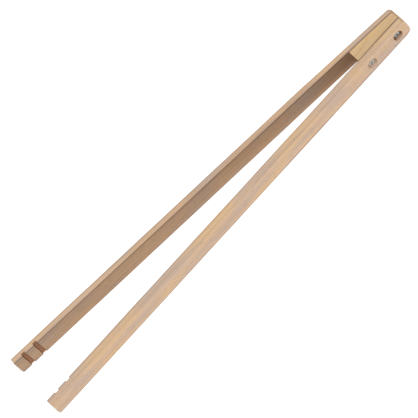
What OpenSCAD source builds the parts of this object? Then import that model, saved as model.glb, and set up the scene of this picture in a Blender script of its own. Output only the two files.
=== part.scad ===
// Wooden spring tongs: two flat arms, splayed by a wedge block and clamped to it by two screws.
// The frame's origin is the middle of the footprint, on the plane that the tongs rest on.
// +X points to the hinge end, +Y to the far arm, and +Z up across the width of the arms.
// Each arm is one strip of wood that bends. It is cut in two at a virtual hinge: the root
// stands still with the wedge block, and the blade turns about the hinge as the arm flexes.
// The cut is an arc about the hinge axis, so the two halves slide past each other.

/* [Arms] */
// Length of the tongs along X
overall_l = 500; // [400:5:600]
// Width of each arm, from the edge that it rests on to its top edge
arm_w = 20; // [16:0.5:30]
// Thickness of each arm
arm_t = 7.5; // [6:0.1:9]
// Angle between each arm and the centre line
splay_deg = 2.85; // [2.5:0.05:4]

/* [Wedge block] */
// Length of the wedge block along X
wedge_l = 58; // [56:1:90]
// Thickness of the wedge block at the hinge end
wedge_end_t = 10; // [9:0.5:16]

/* [Rounded corners] */
// Radius of the lower corner of the hinge end, seen from the side
hinge_low_r = 7; // [2:0.5:8]
// Radius of the upper corner of the hinge end, seen from the side
hinge_top_r = 3.5; // [1:0.5:6]
// Radius of the lower corner of each tip, seen from the side
tip_low_r = 1.5; // [0.5:0.5:5]
// Radius of the upper corner of each tip, seen from the side
tip_top_r = 1; // [0.5:0.5:5]

/* [Grip notches] */
// Number of notches across the inner face of each arm
notch_count = 2; // [1:1:6]
// Distance from the tip to the first notch
notch_first = 11.2; // [6:0.2:20]
// Width of each notch along the arm
notch_w = 4.5; // [2:0.1:6]
// Distance from one notch to the next
notch_pitch = 15.2; // [10:0.2:24]
// Depth of the far arm's notches at its top edge
far_notch_top = 3.4; // [1:0.1:4]
// Depth of the far arm's notches at its lower edge
far_notch_low = 1.5; // [1:0.1:4]
// Depth of the near arm's notches at its top edge
near_notch_top = 1.8; // [1:0.1:4]
// Depth of the near arm's notches at its lower edge
near_notch_low = 2.4; // [1:0.1:4]

/* [Screws] */
// Distance from the hinge end to the end screw
end_screw_x = 13.7; // [11:0.1:16]
// Distance from the hinge end to the mouth screw
mouth_screw_x = 49.8; // [34:0.1:50]
// Length of the end screw under its head
end_screw_l = 20; // [18:0.5:21]
// Length of the mouth screw under its head
mouth_screw_l = 25; // [23:0.5:26]
// Depth of the end screw's counterbore
end_bore_depth = 3.8; // [2.6:0.1:4.2]
// Depth of the mouth screw's counterbore
mouth_bore_depth = 2.8; // [2.6:0.1:4.2]
// Diameter of the counterbores
counterbore_d = 10.5; // [9:0.5:12]
// Diameter of the screws
screw_d = 4; // [3:0.5:4]
// Diameter of the pan heads
head_d = 8; // [6:0.5:8.5]
// Height of the pan heads
head_h = 2.4; // [2:0.1:2.6]

/* [Bending] */
// Share of an arm's free length that lies between the wedge block and the virtual hinge
hinge_share = 0.15; // [0.1:0.01:0.2]
// Radius of the arc on which an arm is cut in two, about the hinge axis
cut_r = 6; // [5.5:0.5:10]

/* [Hidden] */
$fn = 64;

half_l = overall_l / 2;
arm_l = overall_l / cos(splay_deg);
wedge_mouth_t = wedge_end_t + 2 * wedge_l * tan(splay_deg);
clamped_l = wedge_l / cos(splay_deg);
hinge_u = clamped_l + hinge_share * (arm_l - clamped_l);

// Running clearance between the two halves of an arm
cut_gap = 0.1;
// Material left standing past the hinge end before the end is trimmed flush
trim = 2;
// Distance by which a cut runs past the surface that it opens
past = 1;

// Running room between a screw and the wood that it passes through
shank_room = 0.15;
// Room between a screw and the pilot holes that hold it
pilot_room = 0.02;
// Length of a screw's pointed end
point_l = 4;
// Radius of a screw's blunt tip
point_r = 0.2;
// Height of the straight rim of a pan head
head_rim_h = 1.2;
// Width, length and depth of a cross recess
recess_w = 1;
recess_l = 4.4;
recess_depth = 1.5;

// Half the distance between the arms' outer faces, at a distance x from the hinge end
function outer_y(x) = wedge_end_t / 2 + x * tan(splay_deg) + arm_t / cos(splay_deg);

// Side outline of the whole tongs at the hinge end, with its two rounded corners, in X and Z
module hinge_end_outline() {
    difference() {
        translate([-half_l - trim, 0])
            square([overall_l + trim, arm_w]);
        translate([half_l - hinge_low_r, 0])
            corner_waste(hinge_low_r, 0);
        translate([half_l - hinge_top_r, arm_w - hinge_top_r])
            corner_waste(hinge_top_r, 1);
    }
}

// What is cut off a square corner to round it to radius r. The lower corner has top = 0.
module corner_waste(r, top) {
    difference() {
        translate([0, top == 1 ? 0 : -past])
            square([r + past, r + past]);
        translate([0, top == 1 ? 0 : r])
            circle(r = r);
    }
}

// Everything is trimmed to this block, so that the arms and the wedge block end flush
module flush_trim() {
    rotate([90, 0, 0])
        linear_extrude(height = overall_l, center = true)
            hinge_end_outline();
}

// Puts a shape drawn along +X, with the arm's inner face at y = 0 and its wood below it,
// where the far arm lies
module on_far_arm() {
    translate([half_l, wedge_end_t / 2, 0])
        rotate([0, 0, 180 - splay_deg])
            children();
}

// A straight length of an arm from u0 to u1, with square ends, in the arm's own frame
module strip(u0, u1) {
    translate([u0, -arm_t, 0])
        cube([u1 - u0, arm_t, arm_w]);
}

// The notches across the inner face, in the arm's own frame. Each one is sawn at a slight slant,
// from a depth of low at the arm's lower edge to a depth of top at its top edge.
module grip_notches(low, top) {
    over = past * (top - low) / arm_w;
    for (i = [0 : notch_count - 1])
        translate([arm_l - notch_first - notch_w - i * notch_pitch, 0, 0])
            rotate([90, 0, 90])
                linear_extrude(height = notch_w)
                    polygon([
                        [past, -past],
                        [past, arm_w + past],
                        [-top - over, arm_w + past],
                        [-low + over, -past]
                    ]);
}

// What is cut off the two corners of a tip to round them, in the arm's own frame
module tip_corner_waste() {
    translate([arm_l, past, 0])
        rotate([90, 0, 0])
            linear_extrude(height = arm_t + 2 * past) {
                translate([-tip_low_r, 0])
                    corner_waste(tip_low_r, 0);
                translate([-tip_top_r, arm_w - tip_top_r])
                    corner_waste(tip_top_r, 1);
            }
}

// A cylinder of radius r about the hinge axis, in the arm's own frame
module hinge_cylinder(r) {
    translate([hinge_u, -arm_t / 2, 0])
        cylinder(h = arm_w, r = r);
}

// The clamped end of the far arm, before any hole is drilled
module arm_root() {
    intersection() {
        on_far_arm()
            difference() {
                strip(-trim, hinge_u);
                hinge_cylinder(cut_r + cut_gap);
            }
        flush_trim();
    }
}

// The free length of an arm, with its notches and its rounded tip, where the far arm lies
module arm_blade(notch_low, notch_top) {
    on_far_arm()
        difference() {
            union() {
                strip(hinge_u, arm_l);
                intersection() {
                    strip(hinge_u - cut_r, hinge_u + past);
                    hinge_cylinder(cut_r);
                }
            }
            grip_notches(notch_low, notch_top);
            tip_corner_waste();
        }
}

// Puts a shape drawn along +Z on a screw's axis, where z = 0 is the underside of its head
module on_screw_axis(x, bore_depth) {
    translate([half_l - x, bore_depth - outer_y(x), arm_w / 2])
        rotate([-90, 0, 0])
            children();
}

// A pan head's domed outline, turned about its axis, with its rim on z = 0
module pan_head() {
    dome_h = head_h - head_rim_h;
    dome_r = (pow(head_d / 2, 2) + pow(dome_h, 2)) / (2 * dome_h);
    intersection() {
        translate([0, 0, -head_h])
            cylinder(h = head_h, d = head_d);
        translate([0, 0, dome_r - head_h])
            sphere(r = dome_r, $fn = 128);
    }
}

// The crossed slots that are cut into a pan head
module cross_recess() {
    for (turn = [0, 90])
        rotate([0, 0, turn])
            translate([-recess_l / 2, -recess_w / 2, -head_h - past])
                cube([recess_l, recess_w, recess_depth + past]);
}

// A shank of diameter d that ends in a point, as a screw or as the hole that holds it
module pointed_shank(d, l) {
    cylinder(h = l - point_l, d = d);
    translate([0, 0, l - point_l])
        cylinder(h = point_l, r1 = d / 2, r2 = point_r + (d - screw_d) / 2);
}

module wood_screw(l) {
    difference() {
        union() {
            pan_head();
            pointed_shank(screw_d, l);
        }
        cross_recess();
    }
}

// The holes that the screws hold in, through the wedge block and into the far arm
module pilot_holes() {
    on_screw_axis(end_screw_x, end_bore_depth)
        pointed_shank(screw_d + 2 * pilot_room, end_screw_l + pilot_room);
    on_screw_axis(mouth_screw_x, mouth_bore_depth)
        pointed_shank(screw_d + 2 * pilot_room, mouth_screw_l + pilot_room);
}

// A counterbore for the head and a clearance hole for the shank, through the near arm
module screw_seat() {
    translate([0, 0, -arm_t])
        cylinder(h = arm_t, d = counterbore_d);
    translate([0, 0, -past])
        cylinder(h = arm_t + past, d = screw_d + 2 * shank_room);
}

module near_arm_root() {
    color("burlywood")
        difference() {
            mirror([0, 1, 0])
                arm_root();
            on_screw_axis(end_screw_x, end_bore_depth)
                screw_seat();
            on_screw_axis(mouth_screw_x, mouth_bore_depth)
                screw_seat();
        }
}

module near_arm_blade() {
    color("burlywood")
        mirror([0, 1, 0])
            arm_blade(near_notch_low, near_notch_top);
}

module far_arm_root() {
    color("burlywood")
        difference() {
            arm_root();
            pilot_holes();
        }
}

module far_arm_blade() {
    color("burlywood")
        arm_blade(far_notch_low, far_notch_top);
}

module wedge_block() {
    color("wheat")
        difference() {
            intersection() {
                linear_extrude(height = arm_w)
                    polygon([
                        [half_l, -wedge_end_t / 2],
                        [half_l, wedge_end_t / 2],
                        [half_l - wedge_l, wedge_mouth_t / 2],
                        [half_l - wedge_l, -wedge_mouth_t / 2]
                    ]);
                flush_trim();
            }
            pilot_holes();
        }
}

module end_screw() {
    color("silver")
        on_screw_axis(end_screw_x, end_bore_depth)
            wood_screw(end_screw_l);
}

module mouth_screw() {
    color("silver")
        on_screw_axis(mouth_screw_x, mouth_bore_depth)
            wood_screw(mouth_screw_l);
}

near_arm_root();
near_arm_blade();
far_arm_root();
far_arm_blade();
wedge_block();
end_screw();
mouth_screw();
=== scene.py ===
"""Wooden spring tongs: two beech arms, splayed by a wedge block and held by two screws.

All lengths are in metres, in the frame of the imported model: +X points to the hinge end, +Y to the
far arm and +Z up across the width of the arms. A wooden piece's own place is (u, v, z), where u
runs along it from the hinge end, v through its thickness, and z up its width.
"""

import logging
import math
from abc import ABC, abstractmethod
from dataclasses import dataclass, field
from enum import Enum
from typing import Any, Callable, Iterable, Mapping, Sequence

import bmesh
import bpy
import numpy as np
from mathutils import Matrix, Vector


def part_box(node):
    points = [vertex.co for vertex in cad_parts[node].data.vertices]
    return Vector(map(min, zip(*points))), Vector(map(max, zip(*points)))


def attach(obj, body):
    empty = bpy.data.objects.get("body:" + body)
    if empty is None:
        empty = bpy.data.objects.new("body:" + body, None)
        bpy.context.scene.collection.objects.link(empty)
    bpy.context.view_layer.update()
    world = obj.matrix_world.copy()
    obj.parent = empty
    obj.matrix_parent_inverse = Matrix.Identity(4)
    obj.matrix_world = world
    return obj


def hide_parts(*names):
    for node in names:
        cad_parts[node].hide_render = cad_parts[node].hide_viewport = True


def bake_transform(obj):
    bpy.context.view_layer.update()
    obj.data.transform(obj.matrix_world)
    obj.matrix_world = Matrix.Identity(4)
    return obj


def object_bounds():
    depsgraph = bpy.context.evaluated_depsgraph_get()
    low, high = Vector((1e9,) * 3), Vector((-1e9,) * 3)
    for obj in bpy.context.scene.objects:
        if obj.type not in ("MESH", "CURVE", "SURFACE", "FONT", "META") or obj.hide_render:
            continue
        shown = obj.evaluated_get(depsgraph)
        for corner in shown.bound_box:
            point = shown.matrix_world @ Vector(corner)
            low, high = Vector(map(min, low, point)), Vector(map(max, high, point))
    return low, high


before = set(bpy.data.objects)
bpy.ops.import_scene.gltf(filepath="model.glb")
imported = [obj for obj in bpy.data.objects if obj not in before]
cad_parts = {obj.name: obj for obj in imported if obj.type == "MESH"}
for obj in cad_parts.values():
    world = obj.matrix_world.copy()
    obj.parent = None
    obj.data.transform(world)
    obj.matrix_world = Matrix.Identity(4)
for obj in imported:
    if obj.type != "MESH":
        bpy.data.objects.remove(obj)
CAD_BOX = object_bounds()

LOG = logging.getLogger("tongs")
MM = 0.001
ARM_THICKNESS = 7.5 * MM
ARM_WIDTH = 20.0 * MM

Colour = tuple[float, float, float]
Point = tuple[float, float, float]

RISING = (0.0, 1.0)
FALLING = (1.0, 0.0)


class Side(Enum):
    """Which side a piece's v points to: the sign of its Y."""

    NEAR = -1
    FAR = 1


class Look(Enum):
    """The attributes that a wooden piece's mesh carries for its material."""

    GRAIN = "grain"
    END = "end_grain"
    # Painted shade inside the notches and counterbores, in the notches partly saw scorch.
    CUT = "cut_shade_mask"
    # The rounded arrises, which take painted shade and some handling wear.
    EDGE = "eased_edge"


# ---------------------------------------------------------------- nodes


class Value:
    """A node socket that holds a number. Sums and products on it add Math nodes."""

    def __init__(self, sheet: "NodeSheet", socket: bpy.types.NodeSocket) -> None:
        """Wraps one output socket of a sheet's node."""
        self.sheet = sheet
        self.socket = socket

    def _math(self, operation: str, first: Any, second: Any) -> "Value":
        """Adds one Math node."""
        node = self.sheet.add("ShaderNodeMath", {"operation": operation}, {0: first, 1: second})
        return Value(self.sheet, node.outputs[0])

    def __add__(self, other: Any) -> "Value":
        """self + other."""
        return self._math("ADD", self, other)

    __radd__ = __add__

    def __sub__(self, other: Any) -> "Value":
        """self - other."""
        return self._math("SUBTRACT", self, other)

    def __rsub__(self, other: Any) -> "Value":
        """other - self."""
        return self._math("SUBTRACT", other, self)

    def __mul__(self, other: Any) -> "Value":
        """self * other."""
        return self._math("MULTIPLY", self, other)

    __rmul__ = __mul__

    def __truediv__(self, other: Any) -> "Value":
        """self / other."""
        return self._math("DIVIDE", self, other)

    def __pow__(self, other: Any) -> "Value":
        """self ** other."""
        return self._math("POWER", self, other)

    def at_most(self, other: Any) -> "Value":
        """The smaller of self and other."""
        return self._math("MINIMUM", self, other)

    def at_least(self, other: Any) -> "Value":
        """The larger of self and other."""
        return self._math("MAXIMUM", self, other)


class NodeSheet:
    """The nodes of one material or one shape."""

    def __init__(self, tree: bpy.types.NodeTree) -> None:
        """Starts on an emptied tree."""
        self.tree = tree
        tree.nodes.clear()

    def add(
        self,
        kind: str,
        settings: Mapping[str, Any] | None = None,
        sockets: Mapping[Any, Any] | None = None,
    ) -> bpy.types.Node:
        """Adds one node.

        Args:
            kind: The node's type name.
            settings: Its properties, set first.
            sockets: Values or links for its inputs, by index or name.

        Returns:
            The new node.
        """
        node = self.tree.nodes.new(kind)
        for name, value in (settings or {}).items():
            setattr(node, name, value)
        for key, value in (sockets or {}).items():
            self.feed(node.inputs[key], value)
        return node

    def feed(self, socket: bpy.types.NodeSocket, value: Any) -> None:
        """Gives an input what it reads.

        Args:
            socket: The input.
            value: A Value or socket to link, or a plain value to set.
        """
        if isinstance(value, Value):
            value = value.socket
        if isinstance(value, bpy.types.NodeSocket):
            self.tree.links.new(value, socket)
        elif isinstance(value, tuple) and socket.type == "RGBA":
            socket.default_value = (*value, 1.0)
        else:
            socket.default_value = value

    def attribute(self, look: Look) -> bpy.types.Node:
        """The node that reads one of the piece's own attributes."""
        return self.add("ShaderNodeAttribute", {"attribute_name": look.value})

    def mask(self, look: Look) -> Value:
        """One of the piece's own attributes, as a number."""
        return Value(self, self.attribute(look).outputs["Fac"])

    def parts(self, vector: Any) -> tuple[Value, Value, Value]:
        """The three numbers of a vector."""
        node = self.add("ShaderNodeSeparateXYZ", None, {0: vector})
        return tuple(Value(self, out) for out in node.outputs)

    def stretched(self, vector: Any, scale: Point, offset: Point = (0.0, 0.0, 0.0)) -> Any:
        """A vector times a scale and plus an offset.

        Args:
            vector: The vector's socket.
            scale: What each part is multiplied by.
            offset: What is then added, which moves a pattern to another place.

        Returns:
            The result's socket.
        """
        settings = {"operation": "MULTIPLY_ADD"}
        return self.add("ShaderNodeVectorMath", settings, {0: vector, 1: scale, 2: offset}).outputs[0]

    def noise(self, place: Any, detail: float = 2.0, rough: float = 0.5) -> Value:
        """Smooth noise from 0 to 1.

        Args:
            place: Where it is read: a vector's socket, or a Value for noise along one number.
            detail: How many finer layers it has.
            rough: How strong each finer layer is.

        Returns:
            The noise.
        """
        single = isinstance(place, Value)
        node = self.add(
            "ShaderNodeTexNoise",
            {"noise_dimensions": "1D" if single else "3D"},
            {"W" if single else "Vector": place, "Scale": 1.0, "Detail": detail, "Roughness": rough},
        )
        return Value(self, node.outputs[0])

    def ramp(self, value: Value, start: float, end: float, levels: tuple[float, float] = RISING) -> Value:
        """A number put through a straight ramp.

        Args:
            value: The number.
            start: Where the ramp starts.
            end: Where it ends.
            levels: What it gives up to the start, and from the end on.

        Returns:
            The level.
        """
        node = self.add("ShaderNodeValToRGB", None, {0: value})
        for element, place, level in zip(node.color_ramp.elements, (start, end), levels):
            element.position = place
            element.color = (level, level, level, 1.0)
        return Value(self, node.outputs[0])

    def blend(self, share: Any, first: Any, second: Any, mode: str = "MIX") -> Any:
        """Mixes two colours.

        Args:
            share: How much of the second colour shows, from 0 to 1.
            first: The colour below.
            second: The colour above.
            mode: The Mix node's blend type.

        Returns:
            The mixed colour's socket.
        """
        settings = {"data_type": "RGBA", "blend_type": mode, "clamp_factor": True}
        return self.add("ShaderNodeMix", settings, {0: share, 6: first, 7: second}).outputs[2]

    def surface(self, sockets: Mapping[str, Any], relief: Mapping[str, Any] | None = None) -> None:
        """Ends a material's sheet with its shader.

        Args:
            sockets: Values or links for the shader's inputs.
            relief: The same for a Bump node, where the surface isn't smooth.
        """
        if relief:
            bump = self.add("ShaderNodeBump", None, relief)
            sockets = {**sockets, "Normal": bump.outputs[0]}
        shader = self.add("ShaderNodeBsdfPrincipled", None, sockets)
        self.add("ShaderNodeOutputMaterial", None, {"Surface": shader.outputs[0]})


def new_sheet(name: str) -> tuple[bpy.types.Material, NodeSheet]:
    """Starts a node material.

    Args:
        name: The material's name.

    Returns:
        The material and its empty sheet.
    """
    material = bpy.data.materials.new(name)
    material.use_nodes = True
    return material, NodeSheet(material.node_tree)


# ---------------------------------------------------------------- finishes


@dataclass(frozen=True)
class Timber:
    """Sanded, unvarnished beech, as a solid with growth rings through the whole piece.

    Its patterns are read at the piece's own place. A pattern's scale is how fast it changes along
    the grain, through the piece and across it. The tree's heart lies at pith, in v and z, and
    drifts by lean as u grows.
    """

    name: str
    pale: Colour
    ring: Colour
    warm: Colour
    pith: tuple[float, float]
    lean: tuple[float, float]
    seed: float
    cool: Colour = (0.515, 0.395, 0.325)
    streak: Colour = (0.36, 0.225, 0.140)
    fleck: Colour = (0.30, 0.17, 0.10)
    end_tint: Colour = (0.66, 0.56, 0.48)
    # Painted shade inside the notches and counterbores; in the notches it is partly saw scorch.
    cut_shade_tint: Colour = (0.60, 0.42, 0.30)
    # Painted shade on the inner faces between the arms.
    inner_shade_tint: Colour = (0.75, 0.71, 0.665)
    # Painted shade on the rounded arrises where they turn from the light, with some handling wear.
    arris_shade_tint: Colour = (0.58, 0.57, 0.58)
    # More painted shade on the inner faces in the narrow corner by the wedge block's mouth.
    mouth_shade_tint: Colour = (0.74, 0.64, 0.56)
    warm_share: float = 0.85
    cool_share: float = 0.7
    streak_share: float = 0.45
    fleck_share: float = 0.5
    ring_pitch: float = 2.6 * MM
    ring_wander: float = 1.8 * MM
    wander_scale: Point = (5.0, 40.0, 40.0)
    patch_scale: Point = (16.0, 70.0, 70.0)
    fibre_scale: Point = (11.0, 1300.0, 1300.0)
    fleck_scale: Point = (300.0, 2400.0, 2400.0)
    pore_scale: Point = (900.0, 3600.0, 3600.0)
    relief: float = 0.12 * MM
    relief_strength: float = 0.55
    section: tuple[float, float] = (ARM_THICKNESS, ARM_WIDTH)
    edge_reach: float = 0.0
    # How much of the arrises' painted shade the outer top arris is spared.
    unshaded_outer_top: float = 0.0
    # How deep the inner faces' painted shade reaches into the piece; 0 leaves it out.
    inner_shade_depth: float = 0.0
    # The length that sets where the painted shade by the wedge block's mouth fades out.
    mouth_shade_reach: float = 200.0 * MM

    def material(self) -> bpy.types.Material:
        """Builds the node material."""
        material, sheet = new_sheet(self.name)
        grain = sheet.attribute(Look.GRAIN).outputs["Vector"]
        end = sheet.mask(Look.END)
        rings = self._rings(sheet, grain)
        fibres = self._pattern(sheet, grain, self.fibre_scale, 3.0, 0.6)
        pores = self._pattern(sheet, grain, self.pore_scale)
        specks = self._pattern(sheet, grain, self.fleck_scale, 1.0)
        flecks = sheet.ramp(specks, 0.60, 0.72)

        colour = self._board(sheet, grain, rings)
        streaks = sheet.ramp(fibres, 0.46, 0.72) * self.streak_share
        colour = sheet.blend(streaks, colour, self.streak)
        colour = sheet.blend(flecks * (1.0 - end) * self.fleck_share, colour, self.fleck)
        colour = sheet.blend(end, colour, self.end_tint, "MULTIPLY")
        # Painted shade inside the notches and counterbores, in the notches partly saw scorch.
        colour = sheet.blend(sheet.mask(Look.CUT), colour, self.cut_shade_tint, "MULTIPLY")
        # Painted shade greys the rounded arrises, with some handling wear.
        colour = sheet.blend(self._arris_shade(sheet, grain), colour, self.arris_shade_tint, "MULTIPLY")
        # Painted shade on the inner faces, darkest by the wedge block's mouth.
        if self.inner_shade_depth > 0.0:
            colour = self._inner_face_shade(sheet, grain, colour)

        height = 0.6 * fibres + pores * (0.25 + 0.5 * end) + 0.15 * rings - 0.3 * flecks
        sheet.surface(
            {
                "Base Color": colour,
                "Roughness": 0.58 + 0.16 * fibres + 0.12 * end - 0.05 * rings,
                "Specular IOR Level": 0.3,
            },
            {"Strength": self.relief_strength, "Distance": self.relief, "Height": height},
        )
        return material

    def _pattern(
        self, sheet: NodeSheet, grain: Any, scale: Point, detail: float = 2.0, rough: float = 0.5
    ) -> Value:
        """Noise drawn out along the grain.

        Args:
            sheet: The material's nodes.
            grain: The piece's own place.
            scale: How fast the noise changes along, through and across the grain.
            detail: How many finer layers it has.
            rough: How strong each finer layer is.

        Returns:
            The noise, from 0 to 1.
        """
        shift = (self.seed, 2.0 * self.seed, 3.0 * self.seed)
        return sheet.noise(sheet.stretched(grain, scale, shift), detail, rough)

    def _board(self, sheet: NodeSheet, grain: Any, rings: Value) -> Any:
        """The wood's own colour, with its rings and its warmer and cooler patches.

        Args:
            sheet: The material's nodes.
            grain: The piece's own place.
            rings: 1 in a dark ring, 0 in pale wood.

        Returns:
            The colour's socket.
        """
        patches = self._pattern(sheet, grain, self.patch_scale)
        warmth = sheet.ramp(patches, 0.50, 0.62) * self.warm_share
        coolness = sheet.ramp(patches, 0.36, 0.48, FALLING) * self.cool_share
        colour = sheet.blend(rings, self.pale, self.ring)
        colour = sheet.blend(warmth, colour, self.warm)
        return sheet.blend(coolness, colour, self.cool)

    def _arris_shade(self, sheet: NodeSheet, grain: Any) -> Value:
        """Where the arrises are greyed: painted shade where the rounded arrises turn from the light, with
        some handling wear.

        Args:
            sheet: The material's nodes.
            grain: The piece's own place.

        Returns:
            1 on a rounded arris, fading to 0 on the faces beside it within the reach.
        """
        eased = sheet.mask(Look.EDGE)
        if self.edge_reach == 0.0:
            return eased
        _, through, across = sheet.parts(grain)
        thickness, width = self.section
        from_side = through.at_most(thickness - through)
        from_edge = across.at_most(width - across)
        band = sheet.ramp((from_side + from_edge) / self.edge_reach, 0.40, 1.0, FALLING)
        outer = sheet.ramp(through / thickness, 0.45, 0.55)
        top = sheet.ramp(across / width, 0.45, 0.55)
        # The outer top arris is spared part of this painted shade.
        return band.at_least(eased) * (1.0 - outer * top * self.unshaded_outer_top)

    def _inner_face_shade(self, sheet: NodeSheet, grain: Any, colour: Any) -> Any:
        """Darkens the inner face with painted shade, and most of all in the narrow corner next to the
        wedge block's mouth.

        Args:
            sheet: The material's nodes.
            grain: The piece's own place.
            colour: The colour so far.

        Returns:
            The darkened colour's socket.
        """
        along, through, _ = sheet.parts(grain)
        inner = sheet.ramp(through / self.inner_shade_depth, 0.4, 1.0, FALLING)
        corner = inner * sheet.ramp(along / self.mouth_shade_reach, 0.29, 0.60, FALLING)
        colour = sheet.blend(inner, colour, self.inner_shade_tint, "MULTIPLY")
        return sheet.blend(corner, colour, self.mouth_shade_tint, "MULTIPLY")

    def _rings(self, sheet: NodeSheet, grain: Any) -> Value:
        """The growth rings, which are cylinders about the tree's heart.

        Args:
            sheet: The material's nodes.
            grain: The piece's own place, with u along the grain.

        Returns:
            0 in pale wood, up to 1 in a dark ring.
        """
        along, through, across = sheet.parts(grain)
        wander = sheet.noise(sheet.stretched(grain, self.wander_scale, (self.seed, 0.0, 0.0)))
        first = through - self.pith[0] + along * self.lean[0]
        second = across - self.pith[1] + along * self.lean[1]
        from_heart = (first * first + second * second) ** 0.5 + (wander - 0.5) * self.ring_wander
        bands = sheet.noise(from_heart / self.ring_pitch + self.seed, 4.0, 0.62)
        return sheet.ramp(bands, 0.36, 0.68)


@dataclass(frozen=True)
class Zinc:
    """Bright zinc plate on a steel screw, with a little sawdust and fine scratches."""

    name: str = "zinc_plate"
    bright: Colour = (0.50, 0.475, 0.445)
    dull: Colour = (0.28, 0.262, 0.24)
    dull_share: float = 0.75
    blotch_scale: Point = (520.0, 520.0, 520.0)
    scratch_scale: Point = (400.0, 3000.0, 6000.0)
    relief: float = 0.05 * MM
    relief_strength: float = 0.5

    def material(self) -> bpy.types.Material:
        """Builds the node material."""
        material, sheet = new_sheet(self.name)
        place = sheet.add("ShaderNodeTexCoord").outputs["Object"]
        blotches = sheet.noise(sheet.stretched(place, self.blotch_scale), 3.0, 0.6)
        scratches = sheet.noise(sheet.stretched(place, self.scratch_scale))
        dulled = sheet.ramp(blotches, 0.40, 0.64) * self.dull_share
        height = scratches + blotches
        sheet.surface(
            {
                "Base Color": sheet.blend(dulled, self.bright, self.dull),
                "Metallic": 1.0 - 0.25 * blotches,
                "Roughness": 0.28 + 0.22 * blotches + 0.12 * scratches,
            },
            {"Strength": self.relief_strength, "Distance": self.relief, "Height": height},
        )
        return material


@dataclass(frozen=True)
class PaleFloor:
    """A plain white studio floor."""

    name: str = "studio_floor"
    paint: Colour = (0.97, 0.97, 0.97)
    rough: float = 0.9
    glow_tint: Colour = (1.0, 1.0, 1.0)
    glow: float = 0.22

    def material(self) -> bpy.types.Material:
        """Builds the node material."""
        material, sheet = new_sheet(self.name)
        sheet.surface(
            {
                "Base Color": self.paint,
                "Roughness": self.rough,
                "Emission Color": self.glow_tint,
                "Emission Strength": self.glow,
            }
        )
        return material


ARM_TIMBER = {
    Side.NEAR: Timber(
        name="near_arm_beech",
        pale=(0.660, 0.482, 0.345),
        ring=(0.505, 0.352, 0.252),
        warm=(0.660, 0.450, 0.262),
        pith=(-0.020, 0.058),
        lean=(0.004, 0.012),
        seed=3.7,
        inner_shade_depth=0.5 * MM,
        edge_reach=1.5 * MM,
        unshaded_outer_top=0.75,
    ),
    Side.FAR: Timber(
        name="far_arm_beech",
        pale=(0.630, 0.450, 0.310),
        ring=(0.505, 0.345, 0.240),
        warm=(0.620, 0.415, 0.260),
        pith=(0.036, -0.060),
        lean=(-0.006, 0.010),
        seed=8.3,
        inner_shade_depth=0.5 * MM,
        edge_reach=1.5 * MM,
    ),
}
WEDGE_TIMBER = Timber(
    name="wedge_beech",
    pale=(0.660, 0.470, 0.270),
    ring=(0.530, 0.350, 0.180),
    warm=(0.670, 0.440, 0.215),
    cool=(0.610, 0.405, 0.235),
    pith=(-0.034, -0.014),
    lean=(0.16, 0.05),
    seed=5.1,
    ring_pitch=3.4 * MM,
)


# ---------------------------------------------------------------- meshes


@dataclass(frozen=True)
class Section:
    """One cross-section of a rounded bar: its place along the bar, its sides and its arrises."""

    along: float
    inner: float
    outer: float
    low: float
    top: float
    arris: tuple[float, float, float, float]

    def outline(
        self, arc_steps: int = 4, face_steps: int = 6, edge_steps: int = 2
    ) -> list[tuple[float, float]]:
        """The section's outline.

        Args:
            arc_steps: Faces round each arris.
            face_steps: Faces up each wide side.
            edge_steps: Faces across each narrow side.

        Returns:
            Points (v, z), from the inner low arris up the inner side and round.
        """
        inner_low, inner_top, outer_top, outer_low = self.arris
        corners = (
            (self.inner + inner_low, self.low + inner_low, inner_low, 270.0),
            (self.inner + inner_top, self.top - inner_top, inner_top, 180.0),
            (self.outer - outer_top, self.top - outer_top, outer_top, 90.0),
            (self.outer - outer_low, self.low + outer_low, outer_low, 0.0),
        )
        arcs = []
        for v, z, radius, start in corners:
            turns = [math.radians(start - 90.0 * step / arc_steps) for step in range(arc_steps + 1)]
            arcs.append([(v + radius * math.cos(turn), z + radius * math.sin(turn)) for turn in turns])
        points: list[tuple[float, float]] = []
        for index, arc in enumerate(arcs):
            points += arc
            steps = face_steps if index % 2 == 0 else edge_steps
            last, following = arc[-1], arcs[(index + 1) % 4][0]
            for step in range(1, steps):
                share = step / steps
                points.append(tuple(a + (b - a) * share for a, b in zip(last, following)))
        return points


def circle(radius: float, steps: int) -> list[tuple[float, float]]:
    """Points (x, y) at even angles round a circle."""
    turns = [math.tau * step / steps for step in range(steps)]
    return [(radius * math.cos(turn), radius * math.sin(turn)) for turn in turns]


def to_mesh(shape: bmesh.types.BMesh) -> bpy.types.Mesh:
    """Turns a closed bmesh's faces outwards and makes it a mesh.

    Args:
        shape: The bmesh, which is freed.

    Returns:
        The mesh.
    """
    bmesh.ops.recalc_face_normals(shape, faces=shape.faces)
    mesh = bpy.data.meshes.new("shape")
    shape.to_mesh(mesh)
    shape.free()
    return mesh


def loft(outlines: Sequence[Sequence[Point]]) -> bpy.types.Mesh:
    """A closed solid with flat ends, through two or more outlines.

    Args:
        outlines: The outlines in order, each with the same number of points.

    Returns:
        The solid's mesh.
    """
    shape = bmesh.new()
    rings = [[shape.verts.new(point) for point in outline] for outline in outlines]
    count = len(rings[0])
    for ring, following in zip(rings, rings[1:]):
        for index in range(count):
            after = (index + 1) % count
            shape.faces.new((ring[index], ring[after], following[after], following[index]))
    shape.faces.new(rings[0])
    shape.faces.new(rings[-1])
    return to_mesh(shape)


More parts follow.
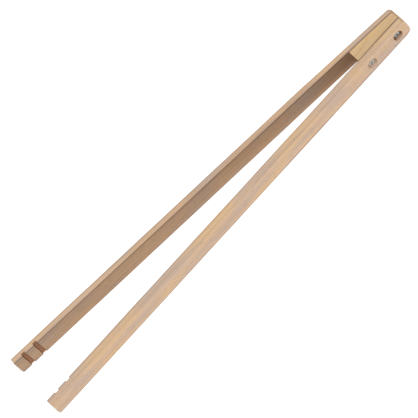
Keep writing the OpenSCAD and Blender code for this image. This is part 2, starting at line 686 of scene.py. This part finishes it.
def turned(
    profile: Sequence[tuple[float, float]],
    place: Callable[[float, float, float], Point],
    steps: int = 64,
) -> bpy.types.Mesh:
    """A closed solid turned about an axis.

    Args:
        profile: (radius, height) points from one end of the axis to the other. The two ends have
            a radius of 0.
        place: Turns the solid's own (x, y, height) into a point in the frame.
        steps: Faces round the axis.

    Returns:
        The solid's mesh.
    """
    shape = bmesh.new()
    start = shape.verts.new(place(0.0, 0.0, profile[0][1]))
    end = shape.verts.new(place(0.0, 0.0, profile[-1][1]))
    rings = [
        [shape.verts.new(place(x, y, height)) for x, y in circle(radius, steps)]
        for radius, height in profile[1:-1]
    ]
    for index in range(steps):
        after = (index + 1) % steps
        shape.faces.new((start, rings[0][index], rings[0][after]))
        shape.faces.new((end, rings[-1][after], rings[-1][index]))
        for ring, following in zip(rings, rings[1:]):
            shape.faces.new((ring[index], following[index], following[after], ring[after]))
    return to_mesh(shape)


def shown(mesh: bpy.types.Mesh, name: str) -> bpy.types.Object:
    """Puts a mesh in the scene.

    Args:
        mesh: The mesh.
        name: The name of the object and its mesh.

    Returns:
        The object, at the origin.
    """
    mesh.name = name
    piece = bpy.data.objects.new(name, mesh)
    bpy.context.scene.collection.objects.link(piece)
    return piece


def settle(piece: bpy.types.Object) -> None:
    """Replaces a piece's mesh by its evaluated one.

    Args:
        piece: The object, which loses its modifiers.
    """
    now = bpy.context.evaluated_depsgraph_get()
    made = bpy.data.meshes.new_from_object(piece.evaluated_get(now), depsgraph=now)
    piece.modifiers.clear()
    piece.data = made
    made.name = piece.name


def cut_away(piece: bpy.types.Object, cutters: Iterable[bpy.types.Object]) -> None:
    """Cuts closed shapes out of a piece, one after another.

    Args:
        piece: The object that is cut.
        cutters: The closed shapes, which are removed.
    """
    for cutter in cutters:
        cut = piece.modifiers.new("cut", "BOOLEAN")
        cut.operation = "DIFFERENCE"
        cut.solver = "EXACT"
        cut.object = cutter
        settle(piece)
        bpy.data.objects.remove(cutter)


def dress(piece: bpy.types.Object, finish: bpy.types.Material, sharp_deg: float = 34.0) -> None:
    """Gives a piece its material and its shading.

    Args:
        piece: The object.
        finish: The material, on every face.
        sharp_deg: The angle past which an edge is sharp. Flat faces are shaded flat.
    """
    mesh = piece.data
    mesh.materials.clear()
    mesh.materials.append(finish)
    mesh.polygons.foreach_set("use_smooth", [True] * len(mesh.polygons))
    mesh.set_sharp_from_angle(angle=math.radians(sharp_deg))
    weights = piece.modifiers.new("even_faces", "WEIGHTED_NORMAL")
    weights.keep_sharp = True


# ---------------------------------------------------------------- repeated shapes


class ShapeTree:
    """A Geometry Nodes tree with named inputs, which ends in real faces of one material."""

    def __init__(self, name: str, inputs: Mapping[str, tuple[str, Any]]) -> None:
        """Starts the tree.

        Args:
            name: The tree's name.
            inputs: The socket type and first value of each input besides Geometry and Finish.
        """
        self.tree = bpy.data.node_groups.new(name, "GeometryNodeTree")
        add_socket = self.tree.interface.new_socket
        add_socket("Geometry", in_out="OUTPUT", socket_type="NodeSocketGeometry")
        add_socket("Geometry", in_out="INPUT", socket_type="NodeSocketGeometry")
        for label, (kind, value) in inputs.items():
            add_socket(label, in_out="INPUT", socket_type=kind).default_value = value
        add_socket("Finish", in_out="INPUT", socket_type="NodeSocketMaterial")
        self.sheet = NodeSheet(self.tree)
        self.given = self.sheet.add("NodeGroupInput").outputs

    def finish(self, geometry: bpy.types.NodeSocket) -> None:
        """Ends the tree.

        Args:
            geometry: The shape's socket.
        """
        solid = self.sheet.add("GeometryNodeRealizeInstances", None, {"Geometry": geometry})
        dressed = self.sheet.add(
            "GeometryNodeSetMaterial",
            None,
            {"Geometry": solid.outputs[0], "Material": self.given["Finish"]},
        )
        self.sheet.add("NodeGroupOutput", None, {0: dressed.outputs[0]})

    def run(self, piece: bpy.types.Object, inputs: Mapping[str, Any]) -> None:
        """Runs the tree on a piece and keeps the result as its plain mesh.

        Args:
            piece: The object whose mesh goes in.
            inputs: The values of the named inputs.
        """
        modifier = piece.modifiers.new(self.tree.name, "NODES")
        modifier.node_group = self.tree
        for item in self.tree.interface.items_tree:
            if item.item_type == "SOCKET" and item.in_out == "INPUT" and item.name in inputs:
                modifier[item.identifier] = inputs[item.name]
        settle(piece)


def row_tree() -> ShapeTree:
    """A tree that repeats the geometry it is given in a straight row.

    Returns:
        The tree, with the inputs Count and Step.
    """
    row = ShapeTree(
        "row", {"Count": ("NodeSocketInt", 2), "Step": ("NodeSocketVector", (0.0, 0.0, 0.0))}
    )
    line = row.sheet.add(
        "GeometryNodeMeshLine",
        {"mode": "OFFSET"},
        {"Count": row.given["Count"], "Offset": row.given["Step"]},
    )
    copies = row.sheet.add(
        "GeometryNodeInstanceOnPoints",
        None,
        {"Points": line.outputs[0], "Instance": row.given["Geometry"]},
    )
    row.finish(copies.outputs[0])
    return row


def thread_tree() -> ShapeTree:
    """A tree that winds a screw thread about the Z axis, upwards from z = 0.

    Returns:
        The tree, with the inputs Turns, Radius, Length and Crest.
    """
    labels = ("Turns", "Radius", "Length", "Crest")
    thread = ShapeTree("thread", {label: ("NodeSocketFloat", 1.0) for label in labels})
    turns, radius, length, crest = (thread.given[label] for label in labels)
    helix = thread.sheet.add(
        "GeometryNodeCurveSpiral",
        None,
        {
            "Resolution": 24,
            "Rotations": turns,
            "Start Radius": radius,
            "End Radius": radius,
            "Height": length,
        },
    )
    ridge = thread.sheet.add(
        "GeometryNodeCurvePrimitiveCircle", {"mode": "RADIUS"}, {"Resolution": 3, "Radius": crest}
    )
    swept = thread.sheet.add(
        "GeometryNodeCurveToMesh",
        None,
        {"Curve": helix.outputs[0], "Profile Curve": ridge.outputs[0], "Fill Caps": True},
    )
    thread.finish(swept.outputs[0])
    return thread


# ---------------------------------------------------------------- screws


@dataclass
class WoodScrew:
    """A pan-head wood screw with a cross recess. Its own height runs from under the head inwards."""

    node: str
    name: str
    turn_deg: float
    pitch: float = 1.8 * MM
    core_r: float = 1.5 * MM
    crest: float = 0.5 * MM
    plain_l: float = 5.0 * MM
    point_l: float = 4.0 * MM
    tip_r: float = 0.225 * MM
    tip_l: float = 0.1 * MM
    head_r: float = 4.0 * MM
    head_h: float = 2.4 * MM
    rim_h: float = 1.2 * MM
    rim_round: float = 0.2 * MM
    dome_steps: int = 8
    recess_l: float = 2.3 * MM
    recess_w: float = 0.55 * MM
    recess_depth: float = 1.6 * MM
    recess_mouth: float = 1.15
    recess_floor: float = 0.62
    pilot_room: float = 0.06 * MM
    x: float = field(init=False)
    z: float = field(init=False)
    seat_y: float = field(init=False)
    length: float = field(init=False)

    def __post_init__(self) -> None:
        """Reads the screw's place and length from the frame."""
        low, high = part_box(self.node)
        self.x = (low.x + high.x) / 2
        self.z = (low.z + high.z) / 2
        self.seat_y = low.y + self.head_h
        self.length = high.y - self.seat_y

    @property
    def shank_r(self) -> float:
        """The radius of the plain part of the shank."""
        return self.core_r + self.crest

    def place(self, x: float, y: float, height: float) -> Point:
        """A point of the screw's own frame, in the model's frame."""
        return (self.x + x, self.seat_y + height, self.z - y)

    def bore(self, radius: float, start: float, end: float) -> bpy.types.Object:
        """A cutter for a round hole on the screw's axis.

        Args:
            radius: The hole's radius.
            start: The height at which it starts.
            end: The height at which it ends.

        Returns:
            The cutter's object.
        """
        profile = ((0.0, start), (radius, start), (radius, end), (0.0, end))
        return shown(turned(profile, self.place), "bore_cutter")

    def pilot_hole(self, start: float) -> bpy.types.Object:
        """A cutter for the hole that the screw bites into, from a height to past its point."""
        return self.bore(self.shank_r + self.pilot_room, start, self.length + self.pilot_room)

    def build(self, finish: bpy.types.Material) -> bpy.types.Object:
        """Makes the whole screw.

        Args:
            finish: The material.

        Returns:
            The screw's object.
        """
        piece = shown(turned(self._profile(), self.place, 48), self.name)
        cut_away(piece, [self._recess_cutter()])
        thread = self._thread(finish)
        shape = bmesh.new()
        shape.from_mesh(piece.data)
        shape.from_mesh(thread.data)
        bmesh.ops.recalc_face_normals(shape, faces=shape.faces)
        shape.to_mesh(piece.data)
        shape.free()
        bpy.data.objects.remove(thread)
        dress(piece, finish, 30.0)
        return piece

    def _profile(self) -> list[tuple[float, float]]:
        """The turned outline.

        Returns:
            Its (radius, height) points, from the top of the head to the point.
        """
        dome_h = self.head_h - self.rim_h
        dome_r = (self.head_r**2 + dome_h**2) / (2 * dome_h)
        dome = []
        for step in range(self.dome_steps + 1):
            radius = (self.head_r - self.rim_round) * step / self.dome_steps
            sag = dome_r - math.sqrt(dome_r**2 - radius**2)
            dome.append((radius, sag - self.head_h))
        return [
            *dome,
            (self.head_r, -self.rim_h + 0.5 * self.rim_round),
            (self.head_r, -self.rim_round),
            (self.head_r - self.rim_round, 0.0),
            (self.shank_r, 0.0),
            (self.shank_r, self.plain_l),
            (self.core_r, self.plain_l + self.crest),
            (self.core_r, self.length - self.point_l),
            (self.tip_r, self.length - self.tip_l),
            (0.0, self.length),
        ]

    def _recess_cutter(self) -> bpy.types.Object:
        """The cross recess, which narrows as it goes in.

        Returns:
            The cutter's object.
        """
        above = 0.5 * MM
        levels = (
            (self.recess_mouth, -self.head_h - above),
            (self.recess_floor, self.recess_depth - self.head_h),
        )
        outlines = []
        for share, height in levels:
            reach, half = self.recess_l * share, self.recess_w * share
            outline = []
            for quarter in range(4):
                turn = math.radians(self.turn_deg + 90.0 * quarter)
                sin, cos = math.sin(turn), math.cos(turn)
                for x, y in ((half, -half), (reach, -half), (reach, half)):
                    outline.append(self.place(x * cos - y * sin, x * sin + y * cos, height))
            outlines.append(outline)
        return shown(loft(outlines), "recess_cutter")

    def _thread(self, finish: bpy.types.Material) -> bpy.types.Object:
        """The thread, from the plain shank to the point.

        Args:
            finish: The material.

        Returns:
            The thread's object.
        """
        start = self.plain_l + self.crest
        length = self.length - self.point_l - self.plain_l - 2 * self.crest
        thread = shown(bpy.data.meshes.new("thread"), "thread")
        inputs = {
            "Turns": length / self.pitch,
            "Radius": self.core_r,
            "Length": length,
            "Crest": self.crest,
            "Finish": finish,
        }
        thread_tree().run(thread, inputs)
        for vertex in thread.data.vertices:
            x, y, height = vertex.co
            vertex.co = self.place(x, y, height + start)
        return thread


# ---------------------------------------------------------------- wood


def wave(place: float, seed: float) -> float:
    """A slow, uneven wave from -1 to 1, for edges that a hand has eased."""
    return (math.sin(place * 61.0 + seed) + math.sin(place * 147.0 + 2.3 * seed) * 0.6) / 1.6


def corner_drop(radius: float, depth: float) -> float:
    """How far a rounded corner is from its square one.

    Args:
        radius: The corner's radius.
        depth: How far past the end it is measured.

    Returns:
        The distance, which is 0 where the rounding is over.
    """
    if depth >= radius:
        return 0.0
    return radius - math.sqrt(radius**2 - (radius - depth) ** 2)


def round_stations(*corners: tuple[float, int]) -> list[float]:
    """Depths past an end at which its rounded corners turn by even angles.

    Args:
        corners: Each corner's radius and its number of steps.

    Returns:
        The depths for all the corners, in order from 0.
    """
    depths = {
        radius * (1.0 - math.cos(math.pi / 2 * step / steps))
        for radius, steps in corners
        for step in range(steps + 1)
    }
    return sorted(depths)


@dataclass
class WoodenPiece(ABC):
    """What the arms and the wedge block share: the hinge end's outline and the wood's looks.

    Its u is turned by turn from the frame's -X, and its v starts at inner_y from the middle.
    """

    name: str = field(init=False)
    timber: Timber = field(init=False)
    screws: Sequence[WoodScrew] = ()
    side: Side = Side.FAR
    splay_deg: float = 2.85
    hinge_low_r: float = 7.0 * MM
    hinge_top_r: float = 3.5 * MM
    station: float = 5.0 * MM
    end_grain_from: float = 0.35
    end_grain_span: float = 0.5
    eased_gain: float = 2.5
    end_x: float = field(init=False)
    width: float = field(init=False)
    half_end: float = field(init=False)
    length: float = field(init=False)
    turn: float = field(init=False, default=0.0)
    inner_y: float = field(init=False, default=0.0)

    def __post_init__(self) -> None:
        """Reads the wedge block's place and length from the frame."""
        low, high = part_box("wedge_block")
        self.end_x = high.x
        self.width = high.z
        self.length = high.x - low.x
        self.half_end = high.y - self.length * math.tan(self.splay)

    @property
    def splay(self) -> float:
        """The angle between an arm and the centre line, in radians."""
        return math.radians(self.splay_deg)

    @abstractmethod
    def sections(self) -> list[Section]:
        """The cross-sections from the hinge end to the other end."""

    @abstractmethod
    def cutters(self) -> list[bpy.types.Object]:
        """What is cut out of it, in order."""

    @abstractmethod
    def attach(self, piece: bpy.types.Object) -> None:
        """Fixes its place and hides the imported parts that it stands in for."""

    def build(self) -> bpy.types.Object:
        """Makes the whole piece.

        Returns:
            The piece's object.
        """
        outlines = [
            [self.skin_place(section.along, v, z) for v, z in section.outline()]
            for section in self.sections()
        ]
        piece = shown(loft(outlines), self.name)
        cut_away(piece, self.cutters())
        self._paint(piece)
        dress(piece, self.timber.material())
        return piece

    def place(self, u: float, v: float, z: float) -> Point:
        """A point of the piece's own frame, in the model's frame."""
        sin, cos = math.sin(self.turn), math.cos(self.turn)
        return (self.end_x - u * cos + v * sin, self.side.value * (self.inner_y + u * sin + v * cos), z)

    def skin_place(self, u: float, v: float, z: float) -> Point:
        """Where a point of the uncut skin goes."""
        return self.place(u, v, z)

    def own_place(self, point: Vector) -> Point:
        """A point of the model's frame, in the piece's own frame."""
        return self._turned_back(self.end_x - point.x, self.side.value * point.y - self.inner_y, point.z)

    def own_normal(self, direction: Vector) -> Point:
        """A direction of the model's frame, in the piece's own frame."""
        return self._turned_back(-direction.x, self.side.value * direction.y, direction.z)

    def _turned_back(self, back: float, out: float, up: float) -> Point:
        """A vector along -X, out and up, in the piece's own frame."""
        sin, cos = math.sin(self.turn), math.cos(self.turn)
        return (back * cos + out * sin, out * cos - back * sin, up)

    def hinge_heights(self, depth: float) -> tuple[float, float]:
        """The lowest and highest z at a depth behind the hinge end, inside its rounded corners."""
        cut_off = corner_drop(self.hinge_top_r, depth)
        return corner_drop(self.hinge_low_r, depth), self.width - cut_off

    def stations(self, hinge: Sequence[float], other: Sequence[float], other_r: float) -> list[float]:
        """Where the cross-sections are.

        Args:
            hinge: Depths behind the hinge end at which its corners turn.
            other: The same for the other end.
            other_r: How far the other end's rounded corners reach.

        Returns:
            Places along the piece, in order.
        """
        straight = self.length - self.hinge_low_r - other_r
        count = round(straight / self.station)
        between = [self.hinge_low_r + straight * step / count for step in range(1, count)]
        return [*hinge, *between, *(self.length - depth for depth in reversed(other))]

    def shade_in_cuts(self, middle: Point, normal: Point) -> float:
        """How much painted shade a face gets inside a cut, from its middle and normal."""
        return 0.0

    def _paint(self, piece: bpy.types.Object) -> None:
        """Writes the attributes that the wood's material reads.

        Args:
            piece: The finished mesh's object.
        """
        mesh = piece.data
        grain = mesh.attributes.new(Look.GRAIN.value, "FLOAT_VECTOR", "POINT")
        places = [self.own_place(vertex.co) for vertex in mesh.vertices]
        grain.data.foreach_set("vector", np.array(places, np.float32).ravel())
        levels: dict[Look, list[float]] = {Look.END: [], Look.CUT: [], Look.EDGE: []}
        for face in mesh.polygons:
            normal = self.own_normal(face.normal)
            # Painted shade inside the notches and counterbores.
            dark = self.shade_in_cuts(self.own_place(face.center), normal)
            along = min(1.0, max(0.0, (abs(normal[0]) - self.end_grain_from) / self.end_grain_span))
            eased = min(1.0, self.eased_gain * min(abs(normal[1]), abs(normal[2]))) * (1.0 - along)
            corners = len(face.loop_indices)
            levels[Look.END] += [along] * corners
            levels[Look.CUT] += [dark] * corners
            levels[Look.EDGE] += [0.0 if dark > 0.0 else eased] * corners
        for look, numbers in levels.items():
            mesh.attributes.new(look.value, "FLOAT", "CORNER").data.foreach_set("value", numbers)


@dataclass
class Arm(WoodenPiece):
    """One arm: a single strip of beech that is clamped at the hinge end and bends.

    Its v runs out from its inner face.
    """

    thickness: float = ARM_THICKNESS
    arris: float = 0.6 * MM
    inner_arris: float = 0.5 * MM
    arris_wobble: float = 0.15 * MM
    hinge_edge_r: float = 1.0 * MM
    hinge_outer_r: float = 1.0 * MM
    tip_edge_r: float = 0.5 * MM
    tip_low_r: float = 1.5 * MM
    tip_top_r: float = 1.0 * MM
    worn_top_r: float = 0.0
    worn_length: float = 120.0 * MM
    thinned: float = 0.0
    notch_count: int = 2
    notch_first: float = 11.2 * MM
    notch_w: float = 4.5 * MM
    notch_pitch: float = 15.2 * MM
    notch_low: float = 2.4 * MM
    notch_top: float = 1.8 * MM
    notch_flare: float = 0.25 * MM
    bore_r: float = 5.25 * MM
    bore_room: float = 0.15 * MM
    bore_flare: float = 0.35 * MM
    # Painted shade inside a counterbore, as a share of that inside a notch.
    bore_shade: float = 0.25
    clamped: float = 58.0 * MM
    bend_end: float = 257.0 * MM

    def __post_init__(self) -> None:
        """Names the arm, reads its length from the frame and turns it by the splay."""
        super().__post_init__()
        self.name = f"{self.side.name.lower()}_arm"
        self.timber = ARM_TIMBER[self.side]
        low, high = CAD_BOX
        self.length = (high.x - low.x) / math.cos(self.splay)
        self.turn = self.splay
        self.inner_y = self.half_end

    def sections(self) -> list[Section]:
        """The cross-sections from the hinge end to the tip.

        Returns:
            The sections, in order.
        """
        hinge = round_stations(
            (self.hinge_edge_r, 4),
            (self.hinge_low_r, 8),
            (self.hinge_top_r, 6),
            (self.hinge_outer_r, 6),
        )
        tip = round_stations((self.tip_edge_r, 4), (self.tip_low_r, 5), (self.tip_top_r, 4))
        return [self._section(place) for place in self.stations(hinge, tip, self.tip_low_r)]

    def cutters(self) -> list[bpy.types.Object]:
        """The cutters for the notches and the screw holes.

        Returns:
            The cutters. The holes are counterbored in the near arm, and blind in the far one.
        """
        cutters = [self._notch_cutters()]
        for screw in self.screws:
            if self.side is Side.FAR:
                cutters.append(screw.pilot_hole(0.0))
                continue
            cutters.append(screw.bore(self.bore_r, -2 * self.thickness, 0.0))
            cutters.append(screw.bore(screw.shank_r + self.bore_room, -screw.head_h, self.thickness))
            cutters.append(self._flare_cutter(screw))
        return cutters

    def attach(self, piece: bpy.types.Object) -> None:
        """Bakes the arm's place into its mesh and hides the imported root and blade that it stands in for.

        Args:
            piece: The arm's object.
        """
        start = self.place(self.clamped, self.thickness / 2, self.width / 2)
        end = self.place(self.bend_end, self.thickness / 2, self.width / 2)
        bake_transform(piece)
        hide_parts(f"{self.name}_root", f"{self.name}_blade")

    def skin_place(self, u: float, v: float, z: float) -> Point:
        """Where a point of the uncut skin goes: sheared at the hinge end, so that it is flush."""
        fade = max(0.0, 1.0 - u / (4 * self.hinge_low_r))
        return self.place(u + v * math.tan(self.turn) * fade, v, z)

    def shade_in_cuts(self, middle: Point, normal: Point) -> float:
        """How much painted shade a face gets inside a notch or a counterbore; in the notches it is partly
        saw scorch.

        Args:
            middle: The face's middle, in the arm's own frame.
            normal: Its normal, in the arm's own frame.

        Returns:
            1 inside a notch, less inside a counterbore, and 0 elsewhere.
        """
        u, v, z = middle
        hair = 0.02 * MM
        depth = self._notch_depth(z)
        side = self.notch_flare + hair
        sawn = abs(normal[0]) > 0.5 or v > depth - hair
        for index in range(self.notch_count):
            start = self.length - self.notch_first - self.notch_w - index * self.notch_pitch
            if sawn and v < depth + hair and start - side < u < start + self.notch_w + side:
                return 1.0
        if self.side is Side.FAR:
            return 0.0
        for screw in self.screws:
            reach = math.hypot(u - self._axis_u(screw), z - screw.z)
            if reach < self.bore_r + 0.1 * MM and hair < v < self.thickness - hair:
                return self.bore_shade
        return 0.0

    def _section(self, u: float) -> Section:
        """The cross-section at one place.

        Args:
            u: The place, from the hinge end.

        Returns:
            The section, inside the rounded corners and the wear.
        """
        from_tip = self.length - u
        low, top = self.hinge_heights(u)
        low = max(low, corner_drop(self.tip_low_r, from_tip))
        top = min(top, self.width - corner_drop(self.tip_top_r, from_tip))
        at_tip = corner_drop(self.tip_edge_r, from_tip)
        inner = max(corner_drop(self.hinge_edge_r, u), at_tip)
        wear = max(0.0, 1.0 - u / self.worn_length)
        at_outer = max(corner_drop(self.hinge_outer_r, u), at_tip)
        outer = self.thickness - self.thinned * wear - at_outer
        worn = self.arris + self.worn_top_r * wear
        ease = [
            radius + self.arris_wobble * wave(u, self.side.value + index)
            for index, radius in enumerate((self.arris, self.inner_arris, worn, self.arris))
        ]
        return Section(u, inner, outer, low, top, tuple(ease))

    def _notch_depth(self, z: float) -> float:
        """How deep the notches are at a height. They are sawn at a slight slant."""
        return self.notch_low + (self.notch_top - self.notch_low) * z / self.width

    def _notch_cutters(self) -> bpy.types.Object:
        """A row of cutters for the grip notches, each with slightly flared sides.

        Returns:
            All of them, as one object.
        """
        start = self.length - self.notch_first - self.notch_w
        end = start + self.notch_w
        past = 1.0 * MM
        flare = self.notch_flare
        outlines = []
        for z in (-past, self.width + past):
            depth = self._notch_depth(z)
            profile = (
                (start - flare - past, -past),
                (start, flare),
                (start, depth),
                (end, depth),
                (end, flare),
                (end + flare + past, -past),
            )
            outlines.append([self.place(u, v, z) for u, v in profile])
        cutters = shown(loft(outlines), "notch_cutters")
        step = Vector(self.place(0.0, 0.0, 0.0)) - Vector(self.place(self.notch_pitch, 0.0, 0.0))
        row_tree().run(cutters, {"Count": self.notch_count, "Step": tuple(step)})
        return cutters

    def _flare_cutter(self, screw: WoodScrew) -> bpy.types.Object:
        """A shallow cone that eases the rim of a counterbore, square to the outer face.

        Args:
            screw: The screw in that counterbore.

        Returns:
            The cutter's object.
        """
        centre_u = self._axis_u(screw)
        below, above = -1.5 * MM, 0.5 * MM
        outlines = []
        for rise in (below, above):
            rim = circle(self.bore_r + self.bore_flare + rise, 64)
            outlines.append([self.place(centre_u + x, self.thickness + rise, screw.z + y) for x, y in rim])
        return shown(loft(outlines), "flare_cutter")

    def _axis_u(self, screw: WoodScrew) -> float:
        """Where a screw's axis crosses the outer face, as a distance along the arm."""
        back = self.end_x - screw.x
        return (back + self.thickness * math.sin(self.turn)) / math.cos(self.turn)


@dataclass
class WedgeBlock(WoodenPiece):
    """The block between the arms at the hinge end, cut from a yellower board.

    Its v is the frame's Y.
    """

    name: str = "wedge"
    timber: Timber = WEDGE_TIMBER
    station: float = 4.2 * MM
    arris: float = 0.3 * MM
    hinge_edge_r: float = 0.7 * MM
    mouth_edge_r: float = 0.3 * MM
    crack_at_end: float = 0.55 * MM
    crack_at_mouth: float = 0.16 * MM
    far_line: float = 0.10 * MM

    def sections(self) -> list[Section]:
        """The cross-sections from the hinge end to the mouth.

        Returns:
            The sections, in order.
        """
        hinge = round_stations((self.hinge_edge_r, 4), (self.hinge_low_r, 8), (self.hinge_top_r, 6))
        mouth = round_stations((self.mouth_edge_r, 3))
        return [self._section(place) for place in self.stations(hinge, mouth, self.mouth_edge_r)]

    def cutters(self) -> list[bpy.types.Object]:
        """The cutters for the two screw holes, which go right through."""
        return [screw.pilot_hole(-screw.head_h) for screw in self.screws]

    def attach(self, piece: bpy.types.Object) -> None:
        """Fixes the block to the hinge end.

        Args:
            piece: The block's object.
        """
        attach(piece, "hinge_end")
        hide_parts("wedge_block")

    def _section(self, depth: float) -> Section:
        """The cross-section at one place.

        Args:
            depth: The place, from the hinge end.

        Returns:
            The section, which leaves an open crack to the near arm and a hairline to the far one.
        """
        low, top = self.hinge_heights(depth)
        inset = corner_drop(self.hinge_edge_r, depth)
        drop = corner_drop(self.mouth_edge_r, self.length - depth)
        half = self.half_end + depth * math.tan(self.splay)
        share = min(1.0, depth / self.length)
        crack = self.crack_at_end + (self.crack_at_mouth - self.crack_at_end) * share
        return Section(
            depth,
            -half + crack + inset + drop,
            half - self.far_line - inset - drop,
            low + drop,
            top - drop,
            (self.arris,) * 4,
        )


# ---------------------------------------------------------------- studio


@dataclass(frozen=True)
class Studio:
    """The floor, the soft light and the camera."""

    dome: float = 0.54
    dome_tint: Colour = (1.0, 0.985, 0.95)
    key_power: float = 56.0
    key_size: float = 1.0
    key_from: Point = (0.02, -1.05, 2.85)
    floor_size: float = 14.0
    floor_gap: float = 0.05 * MM
    aim: Point = (-0.0102, 0.0023, 0.0095)
    azimuth_deg: float = 0.885
    elevation_deg: float = 51.787
    distance: float = 3.4915
    roll_deg: float = -45.936
    lens_mm: float = 311.55
    clip_end: float = 30.0

    def build(self) -> None:
        """Makes the floor, the lights and the camera."""
        self._floor()
        self._light()
        self._camera()

    def _floor(self) -> None:
        """The pale floor, just under the tongs."""
        half = self.floor_size / 2
        mesh = bpy.data.meshes.new("floor")
        around = ((-half, -half), (half, -half), (half, half), (-half, half))
        mesh.from_pydata([(x, y, -self.floor_gap) for x, y in around], [], [(0, 1, 2, 3)])
        mesh.materials.append(PaleFloor().material())
        shown(mesh, "floor")

    def _light(self) -> None:
        """An even white dome, and a large soft lamp high up in front."""
        world = bpy.data.worlds.new("dome")
        world.use_nodes = True
        sheet = NodeSheet(world.node_tree)
        glow = {"Color": self.dome_tint, "Strength": self.dome}
        sky = sheet.add("ShaderNodeBackground", None, glow)
        sheet.add("ShaderNodeOutputWorld", None, {"Surface": sky.outputs[0]})
        bpy.context.scene.world = world
        bpy.context.scene.view_settings.view_transform = "Standard"
        lamp = bpy.data.lights.new("soft_lamp", "AREA")
        lamp.energy = self.key_power
        lamp.size = self.key_size
        holder = bpy.data.objects.new("soft_lamp", lamp)
        holder.location = self.key_from
        holder.rotation_euler = (-Vector(self.key_from)).to_track_quat("-Z", "Y").to_euler()
        bpy.context.scene.collection.objects.link(holder)

    def _camera(self) -> None:
        """The camera, turned about its own axis so that the tongs lie along the diagonal."""
        azimuth, elevation = math.radians(self.azimuth_deg), math.radians(self.elevation_deg)
        level = math.cos(elevation)
        back = Vector((math.sin(azimuth) * level, -math.cos(azimuth) * level, math.sin(elevation)))
        lens = bpy.data.cameras.new("camera")
        lens.lens = self.lens_mm
        lens.clip_end = self.clip_end
        camera = bpy.data.objects.new("camera", lens)
        turn = (-back).to_track_quat("-Z", "Y").to_matrix().to_4x4()
        roll = Matrix.Rotation(math.radians(self.roll_deg), 4, "Z")
        camera.matrix_world = Matrix.Translation(Vector(self.aim) + back * self.distance) @ turn @ roll
        bpy.context.scene.collection.objects.link(camera)
        bpy.context.scene.camera = camera


def main() -> None:
    logging.basicConfig(level=logging.INFO, format="%(name)s: %(message)s")
    Studio().build()
    zinc = Zinc().material()
    screws = [
        WoodScrew(node="end_screw", name="end_wood_screw", turn_deg=24.0),
        WoodScrew(node="mouth_screw", name="mouth_wood_screw", turn_deg=58.0),
    ]
    for screw in screws:
        piece = screw.build(zinc)
        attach(piece, "hinge_end")
        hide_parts(screw.node)
        LOG.info("%s: %d faces", piece.name, len(piece.data.polygons))
    near_arm = Arm(screws=screws, side=Side.NEAR)
    far_arm = Arm(
        screws=screws,
        side=Side.FAR,
        notch_low=1.5 * MM,
        notch_top=3.4 * MM,
        hinge_outer_r=3.2 * MM,
        worn_top_r=2.2 * MM,
        thinned=0.6 * MM,
    )
    for part in (WedgeBlock(screws=screws), near_arm, far_arm):
        piece = part.build()
        part.attach(piece)
        LOG.info("%s: %d faces", piece.name, len(piece.data.polygons))


if __name__ == "__main__":
    main()
